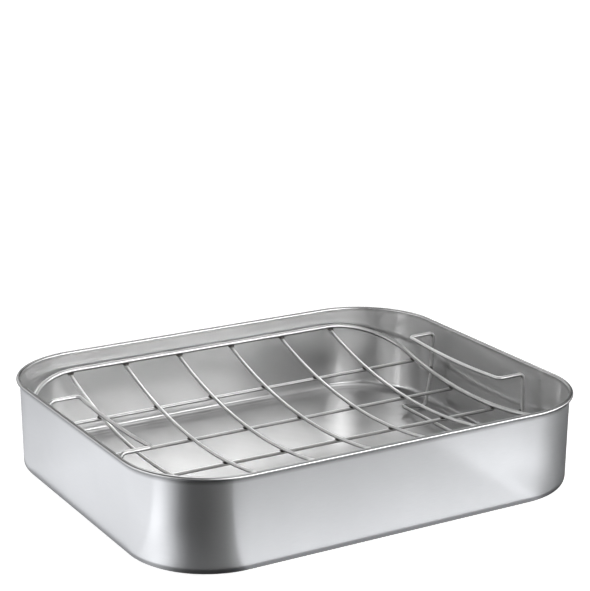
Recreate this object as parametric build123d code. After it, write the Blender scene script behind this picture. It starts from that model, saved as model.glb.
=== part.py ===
from build123d import *
import math
import os

# A deep roasting pan of sheet steel, and the wire rack that stands in it and lifts out.
# Millimetres and degrees. X runs along the long sides, Y across, and +Z is up.
# The origin is under the middle of the pan, on the surface that the pan stands on.

# Pan, measured over the outside of its rolled edge
pan_length = 400.0
pan_width = 330.0
pan_height = 79.0
pan_corner = 72.0
sheet = 0.8
bead = 3.6
curl_turn = 290.0
wall_lean = 0.75
floor_bend = 7.0

# Room that the rack leaves in the pan: at the ends, at the long sides, and under its feet
end_room = 6.8
side_room = 4.6
foot_room = 0.3

# Rack wires: their diameters, and how deep one is set into the next where they are welded
rim_wire = 4.0
cross_wire = 3.0
long_wire = 3.0
loop_wire = 3.2
weld_set = 0.2

# Cradle: the cross wires bow down from the rails, with the long wires under them
cross_count = 6
long_count = 4
bed_height = 31.6
bed_rise = 28.1
wire_overhang = 1.0
corner_knots = (0, 30, 60, 90)
rail_corner_ease = 16.0
end_corner_ease = 22.0

# Handle loops: a grip bar above, two legs past the rim wire, and a foot on the pan's floor
grip_length = 133.6
grip_above_rail = 8.6
grip_reach = 25.5
grip_sag = 2.6
grip_bow_share = 0.8
knee_below_rim = 4.2
knee_bend = 25.0
leg_lean = 9.5
foot_length = 140.0
foot_reach = 25.1
foot_slope = 11.8
loop_bend = 4.0

# The pan's wall is drawn in section, with X measured outwards from the centre of a plan corner.
# Both of its faces lean outwards and run on into the curl of the rolled edge.
lean = math.radians(wall_lean)
wall_up = Vector(math.sin(lean), 0, math.cos(lean))
wall_out = Vector(math.cos(lean), 0, -math.sin(lean))
curl_outer = bead / 2
curl_inner = bead / 2 - sheet
curl_centre = Vector(pan_corner - curl_outer, 0, pan_height - curl_outer)
inner_top = curl_centre - wall_out * curl_outer
outer_top = curl_centre - wall_out * curl_inner
wall_run = (outer_top.Z - floor_bend * (1 - math.sin(lean))) / math.cos(lean)
outer_foot = outer_top - wall_up * wall_run
inner_foot = outer_foot - wall_out * sheet
floor_edge = outer_foot.X - floor_bend * math.cos(lean)

# Plan of the pan: where the centres of its corners lie
corner_x = pan_length / 2 - pan_corner
corner_y = pan_width / 2 - pan_corner

# Plan of the rack, kept clear of the inner face of the wall at half the pan's height
inner_face = inner_top.X - (inner_top.Z - pan_height / 2) * math.tan(lean)
leg_x = corner_x + inner_face - end_room - loop_wire / 2
end_x = leg_x - (loop_wire + rim_wire) / 2 + weld_set
rail_y = corner_y + inner_face - side_room - rim_wire / 2
rail_turn = pan_corner - rail_corner_ease
end_turn = pan_corner - end_corner_ease
cross_pitch = 2 * end_x / (cross_count + 1)
long_pitch = 2 * rail_y / (long_count + 1)

# Cradle: arcs round one line above the pan, each at the radius where its wires touch the next
bed_radius = (rail_y**2 + bed_rise**2) / (2 * bed_rise)
bed_centre = sheet + bed_height + bed_radius
rail_radius = bed_radius - (rim_wire + cross_wire) / 2 + weld_set
long_radius = bed_radius + (cross_wire + long_wire) / 2 - weld_set
end_radius = long_radius - (rim_wire + long_wire) / 2 + weld_set


def height_on(radius, y):
    """How high an arc of the cradle lies, at a distance y from the middle of the pan."""
    return bed_centre - math.sqrt(radius**2 - y**2)


def curl_point(turned, radius):
    """A point on the rolled edge, turned from the wall up and over towards the outside."""
    angle = math.pi - lean - math.radians(turned)
    return curl_centre + Vector(math.cos(angle), 0, math.sin(angle)) * radius


def wall_section():
    """The section of the bend at the floor, the wall and the rolled edge."""
    outer_lip = curl_point(curl_turn, curl_outer)
    inner_lip = curl_point(curl_turn, curl_inner)
    floor_above = Vector(floor_edge, 0, sheet)
    floor_below = Vector(floor_edge, 0, 0)
    outline = [
        TangentArc(floor_above, inner_foot, tangent=(1, 0, 0)),
        Line(inner_foot, inner_top),
        ThreePointArc(inner_top, curl_point(curl_turn / 2, curl_outer), outer_lip),
        Line(outer_lip, inner_lip),
        ThreePointArc(inner_lip, curl_point(curl_turn / 2, curl_inner), outer_top),
        Line(outer_top, outer_foot),
        TangentArc(floor_below, outer_foot, tangent=(1, 0, 0)),
        Line(floor_below, floor_above),
    ]
    return Face(Wire(outline))


def roasting_pan():
    """The flat floor, with the wall section turned round each corner and run to the next."""
    section = wall_section()
    floor_length = 2 * (corner_x + floor_edge)
    floor_width = 2 * (corner_y + floor_edge)
    pan = extrude(RectangleRounded(floor_length, floor_width, floor_edge), amount=sheet)
    corners = [(1, 1, corner_y), (-1, 1, corner_x), (-1, -1, corner_y), (1, -1, corner_x)]
    for quarter, (side_x, side_y, half_run) in enumerate(corners):
        place = Pos(side_x * corner_x, side_y * corner_y) * Rot(0, 0, 90 * quarter)
        pan += place * revolve(section, Axis.Z, revolution_arc=90)
        pan += place * extrude(section, amount=2 * half_run, dir=(0, -1, 0))
    return pan


def wire_along(path, diameter):
    """A round wire with the path as its centre line."""
    start = Plane(origin=path @ 0, z_dir=path % 0)
    return sweep(start * Circle(diameter / 2), path=path)


def two_arcs(start, heading, end, end_heading):
    """Two arcs that leave one point and reach another in the given directions."""
    span = end - start
    both = heading + end_heading
    a = 4 - both.dot(both)
    b = span.dot(both)
    reach = (math.sqrt(b * b + a * span.dot(span)) - b) / a
    first_corner = start + heading * reach
    second_corner = end - end_heading * reach
    middle = (first_corner + second_corner) / 2
    return [
        TangentArc(start, middle, tangent=heading),
        TangentArc(middle, end, tangent=second_corner - first_corner),
    ]


def rim_corner(angle):
    """A point of the rim wire's corner and its heading: 0 at the end, a quarter turn at the rail.

    In plan it is a quarter of an ellipse. It lies on the cradle, and climbs through it from
    the top of the long wires to the top of the cross wires."""
    share = angle / (math.pi / 2)
    radius = end_radius + (rail_radius - end_radius) * share**2 * (3 - 2 * share)
    radius_rate = (rail_radius - end_radius) * 6 * share * (1 - share) / (math.pi / 2)
    x = end_x - rail_turn * (1 - math.cos(angle))
    y = rail_y - end_turn * (1 - math.sin(angle))
    x_rate = -rail_turn * math.sin(angle)
    y_rate = end_turn * math.cos(angle)
    z_rate = (y * y_rate - radius * radius_rate) / math.sqrt(radius**2 - y**2)
    return Vector(x, y, height_on(radius, y)), Vector(x_rate, y_rate, z_rate).normalized()


def mirrored(vector):
    """The same point or heading on the other end of the rack."""
    return Vector(-vector.X, vector.Y, vector.Z)


def rim_wire_solid():
    """The closed rim wire: level rails at the sides, and ends that dip with the cradle."""
    knots = [rim_corner(math.radians(angle)) for angle in corner_knots]
    right_corner = []
    left_corner = []
    for (start, heading), (end, end_heading) in zip(knots, knots[1:]):
        right_corner += two_arcs(start, heading, end, end_heading)
        arcs = two_arcs(mirrored(end), -mirrored(end_heading), mirrored(start), -mirrored(heading))
        left_corner = arcs + left_corner
    end_start, rail_end = knots[0][0], knots[-1][0]
    near_end = Vector(end_start.X, -end_start.Y, end_start.Z)
    end_middle = Vector(end_x, 0, height_on(end_radius, 0))
    half = [
        ThreePointArc(near_end, end_middle, end_start),
        *right_corner,
        Line(rail_end, mirrored(rail_end)),
        *left_corner,
    ]
    return wire_along(Wire(half + [Rot(0, 0, 180) * edge for edge in half]), rim_wire)


def cross_wire_solid(number, rim):
    """One bowed wire from rail to rail, seated under the rim wire."""
    x = (number - (cross_count + 1) / 2) * cross_pitch
    tip_y = rail_y + wire_overhang
    tip_z = height_on(bed_radius, tip_y)
    bow = ThreePointArc((x, -tip_y, tip_z), (x, 0, height_on(bed_radius, 0)), (x, tip_y, tip_z))
    return wire_along(bow, cross_wire) - rim


def long_wire_solid(number, wires_above):
    """One straight wire from end to end, seated under the rim wire and the cross wires."""
    y = (number - (long_count + 1) / 2) * long_pitch
    z = height_on(long_radius, y)
    tip_x = end_x + wire_overhang
    return wire_along(Line((-tip_x, y, z), (tip_x, y, z)), long_wire) - wires_above


def handle_loop_solid(rim):
    """The right-hand loop: a sagging grip bar, arms, knees, leaning legs and a raised foot bar."""
    grip_half = grip_length / 2
    foot_half = foot_length / 2
    grip_z = height_on(rail_radius, rail_y) + grip_above_rail
    knee_z = height_on(end_radius, grip_half) - knee_below_rim
    rise = math.radians(foot_slope)
    foot_turn = math.radians(90 - leg_lean + foot_slope)
    corner_dip = loop_bend * (math.tan(foot_turn / 2) * math.sin(rise) - 1 + math.cos(rise))
    foot_z = sheet + foot_room + loop_wire / 2 - corner_dip
    foot_x = leg_x - (knee_z - foot_z) * math.tan(math.radians(leg_lean))
    knee_half = grip_half + (foot_half - grip_half) * (grip_z - knee_z) / (grip_z - foot_z)
    bow_dip = grip_sag / (1 - grip_bow_share / 2)
    grip_bow = grip_bow_share * grip_half * grip_half / bow_dip
    far_side = [
        (leg_x - grip_reach, grip_half, grip_z, loop_bend),
        (leg_x, grip_half, grip_z, loop_bend),
        (leg_x, knee_half, knee_z, knee_bend),
        (foot_x, foot_half, foot_z, loop_bend),
        (foot_x - foot_reach, foot_half, foot_z + foot_reach * math.tan(rise), loop_bend),
    ]
    near_side = [(x, -y, z, bend) for x, y, z, bend in reversed(far_side)]
    corners = [(leg_x - grip_reach, 0, grip_z - bow_dip, grip_bow), *far_side, *near_side]
    points = [(x, y, z) for x, y, z, bend in corners]
    bends = [bend for x, y, z, bend in corners]
    path = FilletPolyline(*points, radius=bends, close=True)
    return wire_along(path, loop_wire) - rim


rim = rim_wire_solid()
cross_wires = [cross_wire_solid(number, rim) for number in range(1, cross_count + 1)]
long_wires = [long_wire_solid(number, [rim, *cross_wires]) for number in range(1, long_count + 1)]
right_loop = handle_loop_solid(rim)

pieces = {
    "roasting_pan": roasting_pan(),
    "rack_rim_wire": rim,
    "right_handle_loop": right_loop,
    "left_handle_loop": Rot(0, 0, 180) * right_loop,
}
for number, wire in enumerate(cross_wires, 1):
    pieces[f"cross_wire_{number}"] = wire
for number, wire in enumerate(long_wires, 1):
    pieces[f"long_wire_{number}"] = wire

os.makedirs("parts", exist_ok=True)
for name, piece in pieces.items():
    export_step(piece, f"parts/{name}.step")
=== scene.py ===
import math

import bmesh
import bpy
import numpy as np
from mathutils import Matrix, Vector


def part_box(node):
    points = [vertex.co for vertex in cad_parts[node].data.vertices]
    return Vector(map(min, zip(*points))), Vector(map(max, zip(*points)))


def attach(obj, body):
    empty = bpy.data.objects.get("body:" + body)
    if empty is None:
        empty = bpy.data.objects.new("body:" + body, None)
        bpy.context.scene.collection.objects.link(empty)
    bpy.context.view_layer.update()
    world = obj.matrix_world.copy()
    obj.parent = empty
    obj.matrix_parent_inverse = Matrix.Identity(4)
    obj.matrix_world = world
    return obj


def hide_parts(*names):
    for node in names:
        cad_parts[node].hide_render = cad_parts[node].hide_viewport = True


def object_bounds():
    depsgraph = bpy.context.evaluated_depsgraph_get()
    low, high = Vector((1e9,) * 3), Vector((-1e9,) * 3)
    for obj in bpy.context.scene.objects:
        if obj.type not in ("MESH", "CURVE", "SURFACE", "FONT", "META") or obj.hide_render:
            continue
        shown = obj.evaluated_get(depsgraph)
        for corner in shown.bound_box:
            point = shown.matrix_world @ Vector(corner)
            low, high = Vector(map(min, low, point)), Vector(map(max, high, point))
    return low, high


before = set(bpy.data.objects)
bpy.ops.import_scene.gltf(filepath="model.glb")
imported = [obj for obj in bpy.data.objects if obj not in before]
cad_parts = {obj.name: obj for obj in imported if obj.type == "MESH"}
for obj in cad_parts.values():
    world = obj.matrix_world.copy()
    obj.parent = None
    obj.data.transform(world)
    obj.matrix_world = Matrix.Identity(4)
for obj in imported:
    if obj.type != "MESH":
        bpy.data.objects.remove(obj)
cad_low, cad_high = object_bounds()

# A satin steel roasting pan with a bright wire rack standing in it.
# Metres, with X along the long sides and +Z up. Places come from the frame where it holds them,
# and every other size is named here. A tone is a grey from 0 to 1, or a colour.

MM = 0.001

# Every finish: the stretch of its soft noise in which one tone turns into the other
CLOUD_RANGE = (0.3, 0.7)

# Pan: its shape, and how finely its section is drawn
PAN_CORNER = 72 * MM
SHEET = 0.8 * MM
BEAD = 3.6 * MM
CURL_TURN = math.radians(290)
WALL_LEAN = math.radians(0.75)
FLOOR_BEND = 7 * MM
CORNER_POINTS = 40
BEND_STEPS = 10
WALL_STEPS = 26
CURL_STEPS = 30

# Pan: the satin finish, with a clear sheen over a broad one
CLEAR_ROUGHNESS = 0.11
BROAD_ROUGHNESS = 0.46
CLEAR_SHARE = 0.68
ROUGHNESS_DRIFT = 0.04
SHEET_TONES = (0.75, 0.79)
SHEET_CLOUD_SCALE = 14
GRAIN_STRETCH = (90, 2600, 1)
GRAIN_RANGE = (0.25, 0.75)
GRAIN_TONE = 0.69
GRAIN_SHARE = 0.35
GRAIN_RELIEF = 0.7
SPECK_RELIEF = 0.3
SPECK_SCALE = 1500
SHEET_BUMP = (0.10, 0.05 * MM)
# Painted shade: a darker rolled edge, and a dark line in the crease under it on the outside
ROLLED_EDGE_PAINTED_SHADE = 0.44
CREASE_PAINTED_SHADE = 0.12
CREASE_SHADE_SHARE = 0.9
CREASE_SHADE_REACH = 2.3 * MM

# Wires: diameters, how deep one is set into the next, and how finely they are drawn
RIM_WIRE = 4 * MM
CROSS_WIRE = 3 * MM
LONG_WIRE = 3 * MM
LOOP_WIRE = 3.2 * MM
WELD_SET = 0.2 * MM
RING_STEP = 0.8 * MM
WIRE_SIDES = 20
BENT_POINTS = 24
CUT_END = 0.8
RIM_STEPS = 60
CROSS_STEPS = 80
SHARP_EDGE = math.radians(40)

# Wires: the bright finish, with painted shade underneath, and darkened at the welds by heat tint and
# painted shade
WIRE_TONES = (0.55, (0.63, 0.63, 0.625))
WIRE_CLOUD_SCALE = 60
SCUFF_SCALE = 900
WIRE_BUMP = (0.08, 0.04 * MM)
WIRE_ROUGHNESS = 0.34
CLOUD_ROUGHNESS = 0.08
STAIN_ROUGHNESS = 0.2
# Painted shade: the tone of the wires where they face down
PAINTED_UNDERSIDE_SHADE = (0.16, 0.158, 0.155)
UNDERSIDE_SHADE_RANGE = (-0.65, 0.2)
# Round each weld: a real heat tint, with painted shade where the wires meet
HEAT_TINT_AND_SHADE_TONE = (0.15, 0.14, 0.13)
HEAT_TINT_AND_SHADE_RANGE = (0.35, 1.15)
HEAT_TINT_AND_SHADE_CLOUD = 0.35
HEAT_AND_SHADE_START = 1.2 * MM
HEAT_AND_SHADE_REACH = 3.2 * MM

# Welds: a small flattened bead of dark metal on each
WELD_SIZE = (3.2 * MM, 2.9 * MM, 1.35 * MM)
BEAD_STEPS = 2
WELD_TONES = ((0.05, 0.047, 0.045), (0.14, 0.135, 0.13))
WELD_CLOUD_SCALE = 700
WELD_BUMP = (0.3, 0.1 * MM)
WELD_METALLIC = 0.9
WELD_ROUGHNESS = 0.35
WELD_ROUGHNESS_DRIFT = 0.2

# Rack: its corners in plan, and the nodes of its wires
RAIL_TURN = 56 * MM
END_TURN = 50 * MM
CROSS_WIRES = [f"cross_wire_{number}" for number in range(1, 7)]
LONG_WIRES = [f"long_wire_{number}" for number in range(1, 5)]
LOOPS = [("right_handle_loop", 1), ("left_handle_loop", -1)]

# Handle loops
GRIP_HALF = 66.8 * MM
GRIP_REACH = 25.5 * MM
GRIP_BOW_DIP = 2.6 * MM / 0.6
GRIP_BOW_SHARE = 0.8
KNEE_BELOW_RIM = 4.2 * MM
KNEE_BEND = 25 * MM
FOOT_REACH = 25.1 * MM
FOOT_SLOPE = math.radians(11.8)
LEG_LEAN = math.radians(9.5)
LOOP_BEND = 4 * MM

# Cradle: where the frame has the rack, and the arcs that its wires lie on, all round one line
loop_low, loop_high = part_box("right_handle_loop")
rim_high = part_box("rack_rim_wire")[1]
END_X = rim_high.x - RIM_WIRE / 2
RAIL_Y = rim_high.y - RIM_WIRE / 2
RAIL_Z = rim_high.z - RIM_WIRE / 2
BED_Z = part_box("cross_wire_1")[0].z + CROSS_WIRE / 2
RAIL_SEAT = (RIM_WIRE + CROSS_WIRE) / 2 - WELD_SET
LONG_SEAT = (CROSS_WIRE + LONG_WIRE) / 2 - WELD_SET
END_SEAT = (RIM_WIRE + LONG_WIRE) / 2 - WELD_SET
RAIL_BASE = BED_Z + RAIL_SEAT
BED_CENTRE = (RAIL_Y**2 + RAIL_Z**2 - RAIL_BASE**2) / (2 * (RAIL_Z - RAIL_BASE))
BED_RADIUS = BED_CENTRE - BED_Z
RAIL_RADIUS = BED_RADIUS - RAIL_SEAT
LONG_RADIUS = BED_RADIUS + LONG_SEAT
END_RADIUS = LONG_RADIUS - END_SEAT

# Camera, as it stands in front of the near left of the pan. Its focal length is in pixels.
CAMERA_TARGET = Vector((0, 0, 30 * MM))
CAMERA_RANGE = 1.534
CAMERA_AZIMUTH = math.radians(-30.48)
CAMERA_ELEVATION = math.radians(20.55)
CAMERA_YAW = math.radians(-0.08)
CAMERA_TILT = math.radians(4.37)
CAMERA_ROLL = math.radians(0.28)
CAMERA_FOCUS = 1835
PICTURE_HEIGHT = 591
SENSOR = 36
CLIP_NEAR = 0.05
CLIP_FAR = 50

# Studio: the lamp, the plain light, and the floor as the camera sees it
LAMP_PLACE = Vector((0.30, 0.45, 1.35))
LAMP_SIZE = (1.3, 1.2)
LAMP_BRIGHTNESS = 0.4
AMBIENT = 0.5
FLOOR_HALF = 6
FLOOR_DROP = 0.2 * MM
FLOOR_TONE = 0.8
FLOOR_GLOW = 0.8

# Studio: what metal sees on the floor. Each ring is a distance from the pan's outline, and
# (direction, tone) stops in degrees from -X round through -Y, +X and +Y.
CORNER_CENTRE = (cad_high.x - PAN_CORNER, cad_high.y - PAN_CORNER)
# A painted contact shadow darkens what metal sees on the floor near the pan's outline
CONTACT_REACH = 8 * MM
CONTACT_SHADE = 0.35
FLOOR_TINT = (0.97, 0.99, 1.03)
FLOOR_PEAK = 1.92
FLOOR_RINGS = [
    (0.0, [(0, 0.5), (12, 0.6), (20, 0.72), (27, 0.66), (34, 0.42), (40, 0.2),
        (47, 0.09), (54, 0.06), (70, 0.05), (78, 0.06), (85, 0.16), (90, 0.48),
        (97, 0.54), (102, 0.34), (109, 0.15), (122, 0.08), (150, 0.05), (210, 0.05),
        (360, 0.5)]),
    (0.08, [(0, 0.57), (4, 0.8), (11, 0.8), (17, 0.62), (25, 0.33), (34, 0.075),
        (44, 0.02), (78, 0.02), (86, 0.08), (90, 0.34), (95, 0.56), (110, 0.56),
        (125, 0.35), (140, 0.17), (160, 0.075), (210, 0.05), (360, 0.57)]),
    (0.25, [(0, 0.5), (8, 0.47), (16, 0.3), (28, 0.12), (40, 0.02), (84, 0),
        (96, 0.08), (110, 0.2), (125, 0.25), (140, 0.19), (160, 0.12), (210, 0.05),
        (360, 0.5)]),
]

# Studio: what metal sees above the floor. Each band is the height of a direction, from 0 at the
# horizon to 1 overhead, and the same kind of stops.
SKY_PEAK = 18.0
SKY_BANDS = [
    (0.0, [(0, 0.11), (30, 0.017), (60, 0), (90, 0.13), (120, 0.39), (150, 0.36),
        (180, 0.15), (210, 0.044), (240, 0), (300, 0), (330, 0.089), (360, 0.11)]),
    (0.12, [(0, 0.34), (30, 0.17), (60, 0.089), (90, 0.69), (120, 1), (150, 0.66),
        (180, 0.15), (210, 0), (240, 0), (270, 0.033), (300, 0.084), (330, 0.26),
        (360, 0.34)]),
    (0.26, [(0, 0.12), (30, 0), (60, 0), (90, 0.21), (120, 0.17), (150, 0.067),
        (180, 0), (240, 0), (270, 0.12), (300, 0.12), (330, 0.13), (360, 0.12)]),
    (0.42, [(0, 0.044), (30, 0.028), (60, 0.0056), (90, 0.08), (120, 0), (330, 0),
        (360, 0.044)]),
    (0.6, [(0, 0), (210, 0.027), (240, 0.18), (270, 0), (360, 0)]),
    (0.8, [(0, 0), (30, 0.017), (60, 0.033), (90, 0.072), (120, 0.098), (150, 0.0056),
        (180, 0), (210, 0.028), (240, 0.32), (270, 0.2), (300, 0), (360, 0)]),
    (1.0, [(0, 0.022)]),
]


class Socket:
    """A socket of a node tree. Sums with it add Math nodes, and node() adds any other node."""

    def __init__(self, tree, socket=None):
        self.tree = tree
        self.socket = socket

    def node(self, kind, settings=None, inputs=None, output=0):
        """Adds a node, sets it, gives its sockets values or links, and returns one output."""
        made = self.tree.nodes.new(kind)
        for name, value in (settings or {}).items():
            if name == "stops":
                set_stops(made.color_ramp, value)
            else:
                setattr(made, name, value)
        for name, value in (inputs or {}).items():
            if isinstance(value, Socket):
                self.tree.links.new(value.socket, made.inputs[name])
            else:
                made.inputs[name].default_value = value
        return Socket(self.tree, made.outputs[output] if made.outputs else None)

    def maths(self, operation, *values):
        """One Math node on values or sockets."""
        return self.node("ShaderNodeMath", {"operation": operation}, dict(enumerate(values)))

    def __add__(self, other):
        return self.maths("ADD", self, other)

    def __sub__(self, other):
        return self.maths("SUBTRACT", self, other)

    def __rsub__(self, other):
        return self.maths("SUBTRACT", other, self)

    def __mul__(self, other):
        return self.maths("MULTIPLY", self, other)

    def __truediv__(self, other):
        return self.maths("DIVIDE", self, other)

    def __rtruediv__(self, other):
        return self.maths("DIVIDE", other, self)

    __radd__ = __add__
    __rmul__ = __mul__


def rgba(tone):
    """What a colour socket takes: a link as it is, and a grey or a colour with full alpha."""
    if isinstance(tone, Socket):
        return tone
    return (*tone, 1) if isinstance(tone, tuple) else (tone, tone, tone, 1)


def set_stops(ramp, stops):
    """Fills a colour ramp with (place, grey) stops."""
    while len(ramp.elements) > 1:
        ramp.elements.remove(ramp.elements[-1])
    for number, (place, grey) in enumerate(stops):
        stop = ramp.elements[0] if number == 0 else ramp.elements.new(place)
        stop.position = place
        stop.color = rgba(grey)


def mixed(factor, first, second):
    """A tone between two others. The Mix node's colours are its sockets 6, 7 and, going out, 2."""
    return factor.node(
        "ShaderNodeMix",
        {"data_type": "RGBA"},
        {0: factor, 6: rgba(first), 7: rgba(second)},
        output=2,
    )


def vector_maths(operation, first, second):
    """One Vector Math node on two vectors or colours."""
    return first.node("ShaderNodeVectorMath", {"operation": operation}, {0: first, 1: second})


def smooth_range(value, low, high):
    """0 below low and 1 above high, with a soft step between."""
    return value.node(
        "ShaderNodeMapRange",
        {"interpolation_type": "SMOOTHSTEP"},
        {"Value": value, "From Min": low, "From Max": high},
    )


def noise(at, scale, detail, roughness=0.5):
    """Soft noise, with its scale in waves for each unit of the coordinates."""
    return at.node(
        "ShaderNodeTexNoise",
        inputs={"Vector": at, "Scale": scale, "Detail": detail, "Roughness": roughness},
    )


def cloudy(cloud, tones):
    """Soft patches of two tones."""
    return mixed(smooth_range(cloud, *CLOUD_RANGE), *tones)


def marked(start, label):
    """The number that a piece's mesh has at each point under this label."""
    return start.node("ShaderNodeAttribute", {"attribute_name": label}, output="Fac")


def relief(height, bump):
    """A bumpy normal, from a height and its (strength, depth)."""
    strength, depth = bump
    return height.node(
        "ShaderNodeBump", inputs={"Strength": strength, "Distance": depth, "Height": height}
    )


def metal(tone, metallic, roughness, normal):
    """One metal shader."""
    return tone.node(
        "ShaderNodeBsdfPrincipled",
        inputs={"Base Color": tone, "Metallic": metallic, "Roughness": roughness, "Normal": normal},
    )


def new_material(name):
    """An empty material, and a starting socket for its tree."""
    material = bpy.data.materials.new(name)
    material.use_nodes = True
    material.node_tree.nodes.clear()
    return material, Socket(material.node_tree)


def finish_material(start, shader):
    """Ends a material's tree with its shader."""
    start.node("ShaderNodeOutputMaterial", inputs={"Surface": shader})


def satin_sheet():
    """Stainless sheet with fine grain, with painted shade on the rolled edge and in the crease under
    it.
    """
    material, start = new_material("satin_steel_sheet")
    place = start.node("ShaderNodeTexCoord", output="Object")
    along = start.node("ShaderNodeUVMap", {"uv_map": "UVMap"})
    stretched = start.node("ShaderNodeMapping", inputs={"Vector": along, "Scale": GRAIN_STRETCH})
    cloud = noise(place, SHEET_CLOUD_SCALE, detail=3)
    grain = noise(stretched, 1, detail=3, roughness=0.6)
    speck = noise(place, SPECK_SCALE, detail=2)
    tone = cloudy(cloud, SHEET_TONES)
    tone = mixed(smooth_range(grain, *GRAIN_RANGE) * GRAIN_SHARE, tone, GRAIN_TONE)
    # Painted shade on the rolled edge and in the crease under it
    tone = mixed(marked(start, "rolled"), tone, ROLLED_EDGE_PAINTED_SHADE)
    tone = mixed(marked(start, "crease") * CREASE_SHADE_SHARE, tone, CREASE_PAINTED_SHADE)
    normal = relief(grain * GRAIN_RELIEF + speck * SPECK_RELIEF, SHEET_BUMP)
    drift = ROUGHNESS_DRIFT * cloud + ROUGHNESS_DRIFT * grain
    broad = metal(tone, 1, BROAD_ROUGHNESS + drift, normal)
    clear = metal(tone, 1, CLEAR_ROUGHNESS + drift, normal)
    shader = start.node("ShaderNodeMixShader", inputs={0: CLEAR_SHARE, 1: broad, 2: clear})
    finish_material(start, shader)
    return material


def drawn_wire():
    """Bright drawn wire, with painted shade underneath, and darkened round each weld by heat tint
    and painted shade.
    """
    material, start = new_material("bright_drawn_wire")
    place = start.node("ShaderNodeTexCoord", output="Object")
    cloud = noise(place, WIRE_CLOUD_SCALE, detail=3)
    scuff = noise(place, SCUFF_SCALE, detail=2)
    # Heat tint round each weld, with painted shade where the wires meet
    heat_tint_and_shade = smooth_range(marked(start, "heat") + HEAT_TINT_AND_SHADE_CLOUD * cloud, *HEAT_TINT_AND_SHADE_RANGE)
    tone = cloudy(cloud, WIRE_TONES)
    # Painted shade: darker where the wire faces down
    tone = mixed(smooth_range(marked(start, "upward"), *UNDERSIDE_SHADE_RANGE), PAINTED_UNDERSIDE_SHADE, tone)
    tone = mixed(heat_tint_and_shade, tone, HEAT_TINT_AND_SHADE_TONE)
    roughness = WIRE_ROUGHNESS + CLOUD_ROUGHNESS * cloud + STAIN_ROUGHNESS * heat_tint_and_shade
    finish_material(start, metal(tone, 1, roughness, relief(scuff, WIRE_BUMP)))
    return material


def weld_metal():
    """The dark metal squeezed out where two wires are welded."""
    material, start = new_material("weld_metal")
    place = start.node("ShaderNodeTexCoord", output="Object")
    cloud = noise(place, WELD_CLOUD_SCALE, detail=3)
    roughness = WELD_ROUGHNESS + WELD_ROUGHNESS_DRIFT * cloud
    shader = metal(cloudy(cloud, WELD_TONES), WELD_METALLIC, roughness, relief(cloud, WELD_BUMP))
    finish_material(start, shader)
    return material


def new_tree(name, inputs):
    """A Geometry Nodes tree with named inputs, a dict of their sockets, and a starting socket."""
    tree = bpy.data.node_groups.new(name, "GeometryNodeTree")
    for label, kind in inputs.items():
        tree.interface.new_socket(label, in_out="INPUT", socket_type=f"NodeSocket{kind}")
    tree.interface.new_socket("Result", in_out="OUTPUT", socket_type="NodeSocketGeometry")
    entry = tree.nodes.new("NodeGroupInput")
    given = {label: Socket(tree, entry.outputs[label]) for label in inputs}
    return tree, given, Socket(tree)


def finish_tree(shape, material):
    """Real geometry with its material, shaded smooth up to its sharp edges."""
    whole = shape.node("GeometryNodeRealizeInstances", inputs={"Geometry": shape})
    angle = shape.node("GeometryNodeInputMeshEdgeAngle")
    sharp = shape.node(
        "FunctionNodeCompare",
        {"data_type": "FLOAT", "operation": "GREATER_THAN"},
        {0: angle, 1: SHARP_EDGE},
    )
    smooth = shape.node("GeometryNodeSetShadeSmooth", inputs={"Geometry": whole})
    creased = shape.node(
        "GeometryNodeSetShadeSmooth",
        {"domain": "EDGE"},
        {"Geometry": smooth, "Selection": sharp, "Shade Smooth": False},
    )
    dressed = shape.node(
        "GeometryNodeSetMaterial", inputs={"Geometry": creased, "Material": material}
    )
    shape.node("NodeGroupOutput", inputs={"Result": dressed})


def wire_tree():
    """Rounds a wire's corners and runs a round section along it."""
    tree, given, start = new_tree(
        "bent_wire",
        {
            "Path": "Geometry",
            "Bent": "Bool",
            "Bend Points": "Int",
            "Ring Step": "Float",
            "Diameter": "Float",
            "Sides": "Int",
            "End Size": "Float",
            "Material": "Material",
        },
    )
    bend = start.node(
        "GeometryNodeInputNamedAttribute", {"data_type": "FLOAT"}, {"Name": "bend"}
    )
    line = start.node("GeometryNodeMeshToCurve", inputs={"Mesh": given["Path"]})
    turned = start.node(
        "GeometryNodeFilletCurve",
        {"mode": "POLY"},
        {"Curve": line, "Count": given["Bend Points"], "Radius": bend, "Limit Radius": True},
    )
    chosen = start.node(
        "GeometryNodeSwitch",
        {"input_type": "GEOMETRY"},
        {"Switch": given["Bent"], "False": line, "True": turned},
    )
    even = start.node(
        "GeometryNodeResampleCurve",
        {"mode": "LENGTH"},
        {"Curve": chosen, "Length": given["Ring Step"]},
    )
    ends = start.node("GeometryNodeCurveEndpointSelection")
    girth = 1 - (1 - given["End Size"]) * ends
    section = start.node(
        "GeometryNodeCurvePrimitiveCircle",
        {"mode": "RADIUS"},
        {"Resolution": given["Sides"], "Radius": given["Diameter"] / 2},
    )
    tube = start.node(
        "GeometryNodeCurveToMesh",
        inputs={"Curve": even, "Profile Curve": section, "Scale": girth, "Fill Caps": True},
    )
    finish_tree(tube, given["Material"])
    return tree


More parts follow.
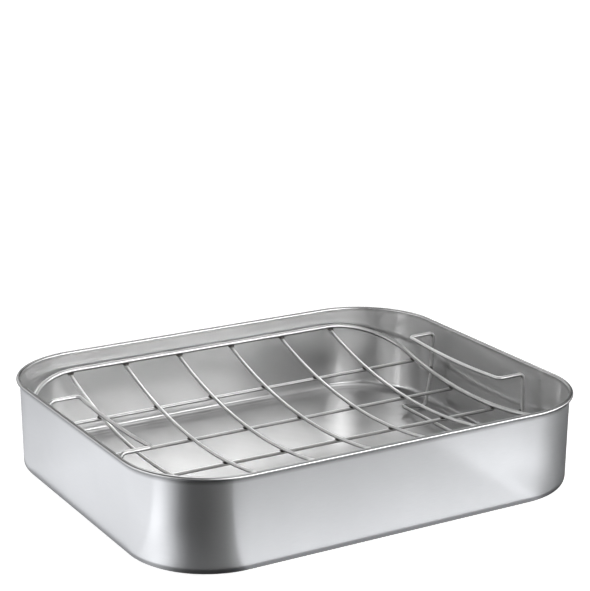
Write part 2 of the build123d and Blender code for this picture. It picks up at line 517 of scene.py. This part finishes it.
def pressed_tree():
    """Runs the wall's section round the plan of the pan."""
    tree, given, start = new_tree(
        "pressed_pan",
        {
            "Section": "Geometry",
            "Length": "Float",
            "Width": "Float",
            "Corner": "Float",
            "Corner Points": "Int",
            "Material": "Material",
        },
    )
    plan = start.node(
        "GeometryNodeCurvePrimitiveQuadrilateral",
        {"mode": "RECTANGLE"},
        {"Width": given["Length"], "Height": given["Width"]},
    )
    rounded = start.node(
        "GeometryNodeFilletCurve",
        {"mode": "POLY"},
        {"Curve": plan, "Count": given["Corner Points"], "Radius": given["Corner"]},
    )
    upright = start.node("GeometryNodeSetCurveNormal", {"mode": "Z_UP"}, {"Curve": rounded})
    section = start.node("GeometryNodeMeshToCurve", inputs={"Mesh": given["Section"]})
    wall = start.node(
        "GeometryNodeCurveToMesh", inputs={"Curve": upright, "Profile Curve": section}
    )
    finish_tree(wall, given["Material"])
    return tree


def bead_tree():
    """Sets a flattened bead on each point, turned as the point says."""
    tree, given, start = new_tree(
        "weld_beads",
        {"Points": "Geometry", "Size": "Vector", "Steps": "Int", "Material": "Material"},
    )
    turn = start.node(
        "GeometryNodeInputNamedAttribute", {"data_type": "FLOAT_VECTOR"}, {"Name": "turn"}
    )
    ball = start.node(
        "GeometryNodeMeshIcoSphere", inputs={"Radius": 1, "Subdivisions": given["Steps"]}
    )
    beads = start.node(
        "GeometryNodeInstanceOnPoints",
        inputs={
            "Points": given["Points"],
            "Instance": ball,
            "Rotation": turn,
            "Scale": given["Size"],
        },
    )
    finish_tree(beads, given["Material"])
    return tree


def linked(name, data):
    """A new object in the scene."""
    made = bpy.data.objects.new(name, data)
    bpy.context.scene.collection.objects.link(made)
    return made


def line_object(name, points, closed=False):
    """A polyline as a mesh of edges."""
    count = len(points)
    edges = [(i, (i + 1) % count) for i in range(count if closed else count - 1)]
    mesh = bpy.data.meshes.new(name)
    mesh.from_pydata([tuple(p) for p in points], edges, [])
    return linked(name, mesh)


def mark_points(made, label, values):
    """Gives each point of a mesh a number or a vector under this label."""
    vector = np.ndim(values) == 2
    layer = made.data.attributes.new(label, "FLOAT_VECTOR" if vector else "FLOAT", "POINT")
    layer.data.foreach_set("vector" if vector else "value", np.ravel(values).astype(np.float32))


def vertices_of(made):
    """The vertices of a mesh, one row each."""
    spots = np.empty(len(made.data.vertices) * 3)
    made.data.vertices.foreach_get("co", spots)
    return spots.reshape(-1, 3)


def grown(made, tree, **values):
    """Runs a tree on an object with its inputs set, and keeps the result as a plain mesh."""
    modifier = made.modifiers.new("grown", "NODES")
    modifier.node_group = tree
    for item in tree.interface.items_tree:
        key = item.name.replace(" ", "_").lower()
        if item.in_out == "INPUT" and key in values:
            modifier[item.identifier] = values[key]
    evaluated = made.evaluated_get(bpy.context.evaluated_depsgraph_get())
    mesh = bpy.data.meshes.new_from_object(evaluated)
    mesh.name = made.name
    made.modifiers.clear()
    made.data = mesh
    return made


def arc(centre, radius, start, end, steps):
    """Points of an arc in section, as (out, up), without its first one."""
    angles = [start + (end - start) * (i + 1) / steps for i in range(steps)]
    return [(centre[0] + radius * math.cos(a), centre[1] + radius * math.sin(a)) for a in angles]


def straight(start, end, steps):
    """Points of a straight run in section, without its first one."""
    return [tuple(start + (end - start) * (i + 1) / steps) for i in range(steps)]


def wall_section(height):
    """The pan's wall in section, from the floor up the inner face, over the curl and back down.

    Points are (out, up), measured out from the centre of a plan corner. The floor begins at
    the first and the last of them."""
    outer = BEAD / 2
    inner = BEAD / 2 - SHEET
    across = np.array((math.cos(WALL_LEAN), -math.sin(WALL_LEAN)))
    upward = np.array((math.sin(WALL_LEAN), math.cos(WALL_LEAN)))
    curl = np.array((PAN_CORNER - outer, height - outer))
    inner_top = curl - across * outer
    outer_top = curl - across * inner
    run = (outer_top[1] - FLOOR_BEND * (1 - math.sin(WALL_LEAN))) / math.cos(WALL_LEAN)
    outer_foot = outer_top - upward * run
    bend = outer_foot - across * FLOOR_BEND
    inner_foot = bend + across * (FLOOR_BEND - SHEET)
    top = math.pi - WALL_LEAN
    lip = top - CURL_TURN
    return [
        (bend[0], SHEET),
        *arc(bend, FLOOR_BEND - SHEET, -math.pi / 2, -WALL_LEAN, BEND_STEPS),
        *straight(inner_foot, inner_top, WALL_STEPS),
        *arc(curl, outer, top, lip, CURL_STEPS),
        tuple(curl + inner * np.array((math.cos(lip), math.sin(lip)))),
        *arc(curl, inner, lip, top, CURL_STEPS),
        *straight(outer_top, outer_foot, WALL_STEPS),
        *arc(bend, FLOOR_BEND, -WALL_LEAN, -math.pi / 2, BEND_STEPS),
    ]


def close_floor(pan):
    """Closes the floor's upper and lower face and points every face outwards."""
    shell = bmesh.new()
    shell.from_mesh(pan.data)
    open_edges = [edge for edge in shell.edges if edge.is_boundary]
    bmesh.ops.holes_fill(shell, edges=open_edges, sides=0)
    bmesh.ops.recalc_face_normals(shell, faces=shell.faces)
    shell.to_mesh(pan.data)
    shell.free()


def lay_sheet(pan, size):
    """Marks the rolled edge and the crease for their painted shade, and lays the sheet's coordinates
    for its grain.

    They run along the wall and up it. On the flat floor the grain runs on a slant."""
    spots = vertices_of(pan)
    half = np.array((size.x, size.y)) / 2 - PAN_CORNER
    out = np.abs(spots[:, :2]) - half
    corner = (out > 0).all(1)
    turn = np.arctan2(np.maximum(out[:, 1], 0), np.maximum(out[:, 0], 0))
    along = np.where(corner, turn * PAN_CORNER, 0) + np.minimum(spots[:, 1], half[1]) + spots[:, 0]
    up = spots[:, 2]
    bead_foot = size.z - BEAD
    reach = np.linalg.norm(np.maximum(out, 0), axis=1)
    outside = reach > PAN_CORNER - BEAD + SHEET / 2
    # Masks for the painted shade in the crease and on the rolled edge
    painted_crease_shade = np.clip(1 - np.abs(up - bead_foot) / CREASE_SHADE_REACH, 0, 1)
    mark_points(pan, "crease", painted_crease_shade * outside)
    mark_points(pan, "rolled", np.clip((up - bead_foot) / (BEAD / 2), 0, 1))
    loops = np.empty(len(pan.data.loops), int)
    pan.data.loops.foreach_get("vertex_index", loops)
    layer = pan.data.uv_layers.new(name="UVMap")
    layer.data.foreach_set("uv", np.stack((along, up), 1)[loops].ravel())


def roasting_pan():
    """The pressed wall swept round the plan, with the flat floor closed between its edges."""
    low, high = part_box("roasting_pan")
    section = wall_section(high.z)
    floor_edge = section[0][0]
    pan = grown(
        line_object("satin_pan", [(out - floor_edge, -up, 0) for out, up in section]),
        pressed_tree(),
        length=high.x - low.x - 2 * (PAN_CORNER - floor_edge),
        width=high.y - low.y - 2 * (PAN_CORNER - floor_edge),
        corner=floor_edge,
        corner_points=CORNER_POINTS,
        material=satin_sheet(),
    )
    close_floor(pan)
    lay_sheet(pan, high - low)
    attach(pan, "pan")
    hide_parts("roasting_pan")


def height_on(radius, y):
    """How high an arc of the cradle lies, at a distance y from the middle."""
    return BED_CENTRE - math.sqrt(radius**2 - y**2)


def rim_path():
    """The closed centre line of the rim wire, with all four quarters drawn from one.

    The quarter runs from the middle of the right end to the far rail. Round its corner it is
    part of an ellipse in plan, and it climbs from the long wires to the cross wires."""
    corner_start = RAIL_Y - END_TURN
    quarter = []
    for i in range(RIM_STEPS):
        y = corner_start * i / RIM_STEPS
        quarter.append((END_X, y, height_on(END_RADIUS, y)))
    for i in range(RIM_STEPS + 1):
        share = i / RIM_STEPS
        angle = share * math.pi / 2
        radius = END_RADIUS + (RAIL_RADIUS - END_RADIUS) * share**2 * (3 - 2 * share)
        x = END_X - RAIL_TURN * (1 - math.cos(angle))
        y = RAIL_Y - END_TURN * (1 - math.sin(angle))
        quarter.append((x, y, height_on(radius, y)))
    far_left = [(-x, y, z) for x, y, z in reversed(quarter)]
    half = quarter + far_left[:-1]
    return half + [(-x, -y, z) for x, y, z in half]


def cross_path(node):
    """A bowed cross wire's centre line, as long as its node."""
    low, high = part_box(node)
    x = (low.x + high.x) / 2
    reach = math.asin(high.y / BED_RADIUS)
    angles = [reach * (2 * i / CROSS_STEPS - 1) for i in range(CROSS_STEPS + 1)]
    return [(x, BED_RADIUS * math.sin(a), BED_CENTRE - BED_RADIUS * math.cos(a)) for a in angles]


def long_path(node):
    """A straight long wire's centre line, as long as its node."""
    low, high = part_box(node)
    y = (low.y + high.y) / 2
    z = height_on(LONG_RADIUS, y)
    return [(low.x, y, z), (high.x, y, z)]


def loop_path(side):
    """Corners of a handle loop and the bend at each, for the right (1) or the left (-1)."""
    leg_x = loop_high.x - LOOP_WIRE / 2
    grip_x = leg_x - GRIP_REACH
    grip_z = loop_high.z - LOOP_WIRE / 2
    foot_half = loop_high.y - LOOP_WIRE / 2
    knee_z = height_on(END_RADIUS, GRIP_HALF) - KNEE_BELOW_RIM
    turn = math.pi / 2 - LEG_LEAN + FOOT_SLOPE
    dip = LOOP_BEND * (math.tan(turn / 2) * math.sin(FOOT_SLOPE) - 1 + math.cos(FOOT_SLOPE))
    foot_z = loop_low.z + LOOP_WIRE / 2 - dip
    foot_x = leg_x - (knee_z - foot_z) * math.tan(LEG_LEAN)
    foot_rise = FOOT_REACH * math.tan(FOOT_SLOPE)
    knee_half = GRIP_HALF + (foot_half - GRIP_HALF) * (grip_z - knee_z) / (grip_z - foot_z)
    grip_bow = GRIP_BOW_SHARE * GRIP_HALF**2 / GRIP_BOW_DIP
    far = [
        (grip_x, GRIP_HALF, grip_z, LOOP_BEND),
        (leg_x, GRIP_HALF, grip_z, LOOP_BEND),
        (leg_x, knee_half, knee_z, KNEE_BEND),
        (foot_x, foot_half, foot_z, LOOP_BEND),
        (foot_x - FOOT_REACH, foot_half, foot_z + foot_rise, LOOP_BEND),
    ]
    near = [(x, -y, z, bend) for x, y, z, bend in reversed(far)]
    corners = [(grip_x, 0, grip_z - GRIP_BOW_DIP, grip_bow), *far, *near]
    points = [(x * side, y * side, z) for x, y, z, bend in corners]
    return points, [bend for x, y, z, bend in corners]


def welds_on_arc(xs, radius, y, tilt):
    """Welds at several places along the rack, on an arc of the cradle and tilted with it."""
    z = BED_CENTRE - radius * math.cos(tilt)
    return [((x, y, z), (tilt, 0, 0)) for x in xs]


def weld_spots():
    """Every weld as (place, turn): wire on wire, wires under the rim wire, and legs against it."""
    cross_xs = [cross_path(node)[0][0] for node in CROSS_WIRES]
    long_ys = [long_path(node)[0][1] for node in LONG_WIRES]
    under_cross = BED_RADIUS + (CROSS_WIRE - WELD_SET) / 2
    over_cross = BED_RADIUS - (CROSS_WIRE - WELD_SET) / 2
    over_long = LONG_RADIUS - (LONG_WIRE - WELD_SET) / 2
    spots = []
    for y in long_ys:
        spots += welds_on_arc(cross_xs, under_cross, y, math.asin(y / BED_RADIUS))
    for side in (-1, 1):
        tilt = side * math.asin(RAIL_Y / BED_RADIUS)
        spots += welds_on_arc(cross_xs, over_cross, over_cross * math.sin(tilt), tilt)
        for y in long_ys:
            spots += welds_on_arc([side * END_X], over_long, y, math.asin(y / BED_RADIUS))
        for y in (-GRIP_HALF, GRIP_HALF):
            place = (side * (END_X + RIM_WIRE / 2), y, height_on(END_RADIUS, y))
            spots.append((place, (0, math.pi / 2, 0)))
    return spots


def mark_wire(wire, welds):
    """Marks each point of a wire with how near it lies to a weld, and how far up it faces."""
    here = vertices_of(wire)
    nearest = np.min([np.linalg.norm(here - weld, axis=1) for weld in welds], axis=0)
    # How near a weld, for the heat tint and its painted shade
    mark_points(wire, "heat", np.clip(1 - (nearest - HEAT_AND_SHADE_START) / HEAT_AND_SHADE_REACH, 0, 1))
    facing = np.empty(here.size)
    wire.data.vertices.foreach_get("normal", facing)
    # How far up it faces, for the painted shade underneath
    mark_points(wire, "upward", facing[2::3])


def rack_wire(node, points, diameter, tree, finish, welds, closed=False, bends=None):
    """One wire of the rack, in place of its node."""
    line = line_object(f"{node}_bright", points, closed)
    if bends is not None:
        mark_points(line, "bend", bends)
    wire = grown(
        line,
        tree,
        bent=bends is not None,
        bend_points=BENT_POINTS,
        ring_step=RING_STEP,
        diameter=diameter,
        sides=WIRE_SIDES,
        end_size=1.0 if closed else CUT_END,
        material=finish,
    )
    mark_wire(wire, welds)
    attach(wire, "rack")
    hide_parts(node)


def rack():
    """Every wire of the rack, and a bead of metal on each weld."""
    welds, turns = zip(*weld_spots())
    given = {"tree": wire_tree(), "finish": drawn_wire(), "welds": np.array(welds)}
    rack_wire("rack_rim_wire", rim_path(), RIM_WIRE, closed=True, **given)
    for node in CROSS_WIRES:
        rack_wire(node, cross_path(node), CROSS_WIRE, **given)
    for node in LONG_WIRES:
        rack_wire(node, long_path(node), LONG_WIRE, **given)
    for node, side in LOOPS:
        points, bends = loop_path(side)
        rack_wire(node, points, LOOP_WIRE, closed=True, bends=bends, **given)
    line = line_object("rack_welds", welds)
    mark_points(line, "turn", turns)
    beads = grown(line, bead_tree(), size=WELD_SIZE, steps=BEAD_STEPS, material=weld_metal())
    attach(beads, "rack")


def round_ramp(vector, stops):
    """A tone by compass direction: a ramp over one turn, from -X round through -Y, +X and +Y."""
    x = vector.node("ShaderNodeSeparateXYZ", inputs={0: vector}, output="X")
    y = vector.node("ShaderNodeSeparateXYZ", inputs={0: vector}, output="Y")
    turn = vector.maths("ARCTAN2", y, x) / (2 * math.pi) + 0.5
    return vector.node(
        "ShaderNodeValToRGB", {"stops": [(at / 360, tone) for at, tone in stops]}, {"Fac": turn}
    )


def layered(level, vector, layers):
    """Compass tones that change with a level, from each (level, stops) to the next."""
    tone = round_ramp(vector, layers[0][1])
    for (low, _), (high, stops) in zip(layers, layers[1:]):
        share = level.node(
            "ShaderNodeMapRange", inputs={"Value": level, "From Min": low, "From Max": high}
        )
        tone = mixed(share, tone, round_ramp(vector, stops))
    return tone


def studio_floor():
    """A pale floor that keeps the pan's shadow. Metal sees the studio's light and dark on it."""
    material, start = new_material("pale_floor")
    spot = start.node("ShaderNodeNewGeometry", output="Position")
    seen = start.node("ShaderNodeLightPath", output="Is Camera Ray")
    gloss = start.node("ShaderNodeLightPath", output="Is Glossy Ray")
    x, y = CORNER_CENTRE
    inside = vector_maths("MAXIMUM", vector_maths("MINIMUM", spot, (x, y, 0)), (-x, -y, 0))
    apart = vector_maths("SUBTRACT", spot, inside)
    away = apart.node(
        "ShaderNodeVectorMath", {"operation": "LENGTH"}, {0: apart}, output="Value"
    )
    beyond = away - PAN_CORNER
    # Painted contact shadow round the pan's outline, in what metal sees
    painted_contact_shadow = CONTACT_SHADE + (1 - CONTACT_SHADE) * smooth_range(beyond, 0, CONTACT_REACH)
    shaped = vector_maths("MULTIPLY", layered(beyond, apart, FLOOR_RINGS), FLOOR_TINT)
    shaped = vector_maths("MULTIPLY", shaped, painted_contact_shadow)
    lit = start.node("ShaderNodeBsdfDiffuse", inputs={"Color": rgba(FLOOR_TONE)})
    glow = start.node(
        "ShaderNodeEmission", inputs={"Color": rgba(1), "Strength": seen * FLOOR_GLOW}
    )
    plain = start.node("ShaderNodeAddShader", inputs={0: lit, 1: glow})
    mirrored = start.node("ShaderNodeEmission", inputs={"Color": shaped, "Strength": FLOOR_PEAK})
    both = start.node("ShaderNodeMixShader", inputs={0: gloss, 1: plain, 2: mirrored})
    finish_material(start, both)
    mesh = bpy.data.meshes.new("floor")
    corners = [(-1, -1), (1, -1), (1, 1), (-1, 1)]
    mesh.from_pydata([(x * FLOOR_HALF, y * FLOOR_HALF, 0) for x, y in corners], [], [(0, 1, 2, 3)])
    mesh.materials.append(material)
    floor = linked("floor", mesh)
    floor.location.z = -FLOOR_DROP


def studio_world():
    """White where it is seen. The metal sees soft lights and darker gaps round it."""
    world = bpy.data.worlds.new("studio")
    world.use_nodes = True
    world.node_tree.nodes.clear()
    bpy.context.scene.world = world
    start = Socket(world.node_tree)
    way = start.node("ShaderNodeTexCoord", output="Generated")
    height = start.node("ShaderNodeSeparateXYZ", inputs={0: way}, output="Z")
    gloss = start.node("ShaderNodeLightPath", output="Is Glossy Ray")
    seen = start.node("ShaderNodeLightPath", output="Is Camera Ray")
    level = AMBIENT + (1 - AMBIENT) * seen
    plain = start.node("ShaderNodeBackground", inputs={"Color": rgba(1), "Strength": level})
    shaped = start.node(
        "ShaderNodeBackground",
        inputs={"Color": layered(height, way, SKY_BANDS), "Strength": SKY_PEAK},
    )
    both = start.node("ShaderNodeMixShader", inputs={0: gloss, 1: plain, 2: shaped})
    start.node("ShaderNodeOutputWorld", inputs={"Surface": both})


def overhead_lamp():
    """A wide soft lamp turned to the pan, at a brightness where 1 is white."""
    lamp = bpy.data.lights.new("overhead", "AREA")
    lamp.shape = "RECTANGLE"
    lamp.size, lamp.size_y = LAMP_SIZE
    lamp.energy = LAMP_BRIGHTNESS * math.pi * LAMP_SIZE[0] * LAMP_SIZE[1]
    made = linked("overhead", lamp)
    made.location = LAMP_PLACE
    made.rotation_mode = "QUATERNION"
    made.rotation_quaternion = (-LAMP_PLACE).to_track_quat("-Z", "Y")
    made.visible_camera = False
    made.visible_glossy = False


def way_back(azimuth, elevation):
    """A direction from the pan back to the viewer."""
    flat = math.cos(elevation)
    return Vector((math.sin(azimuth) * flat, -math.cos(azimuth) * flat, math.sin(elevation)))


def camera():
    """The camera at the place and angle that the picture was taken from."""
    place = CAMERA_TARGET + CAMERA_RANGE * way_back(CAMERA_AZIMUTH, CAMERA_ELEVATION)
    back = way_back(CAMERA_AZIMUTH + CAMERA_YAW, CAMERA_ELEVATION - CAMERA_TILT)
    right = (-back).cross(Vector((0, 0, 1))).normalized()
    level = Matrix((right, back.cross(right), back)).transposed()
    view = bpy.data.cameras.new("camera")
    view.sensor_width = SENSOR
    view.lens = CAMERA_FOCUS * SENSOR / PICTURE_HEIGHT
    view.clip_start = CLIP_NEAR
    view.clip_end = CLIP_FAR
    made = linked("camera", view)
    made.matrix_world = (
        Matrix.Translation(place) @ level.to_4x4() @ Matrix.Rotation(CAMERA_ROLL, 4, "Z")
    )
    bpy.context.scene.camera = made


bpy.context.scene.view_settings.view_transform = "Standard"
camera()
studio_world()
studio_floor()
overhead_lamp()
roasting_pan()
rack()
